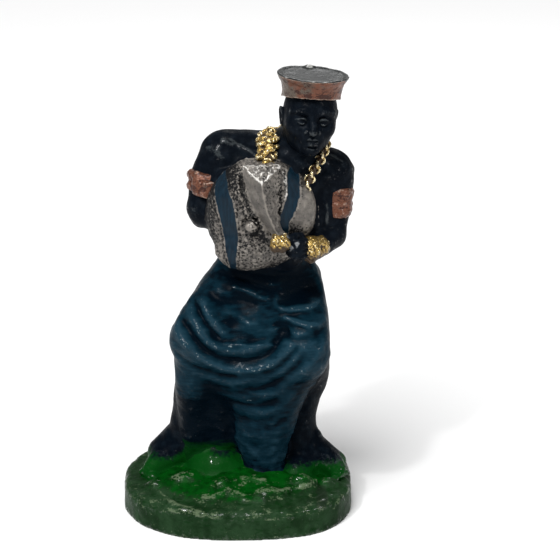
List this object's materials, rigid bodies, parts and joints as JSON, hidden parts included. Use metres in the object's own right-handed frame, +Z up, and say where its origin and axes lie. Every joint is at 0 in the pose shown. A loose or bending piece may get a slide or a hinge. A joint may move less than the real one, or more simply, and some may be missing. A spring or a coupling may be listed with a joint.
{
  "type": "orisha statue",
  "caption": "Small painted cast statue of a crouching orisha warrior with shield, broad sword and flat-topped cap, on an oval grassy base.",
  "frame": {"origin": "middle of the base's flat underside, on the surface that the statue stands on", "axes": "+Z up, -Y the way the figure faces, +X towards the figure's own left hand, which carries the sword"},
  "size_m": [0.0782, 0.0642, 0.1511],
  "materials": {
    "painted_cast": "gloss"
  },
  "bodies": {
    "root": {"orisha_statue": "painted_cast"}
  },
  "joints": []
}
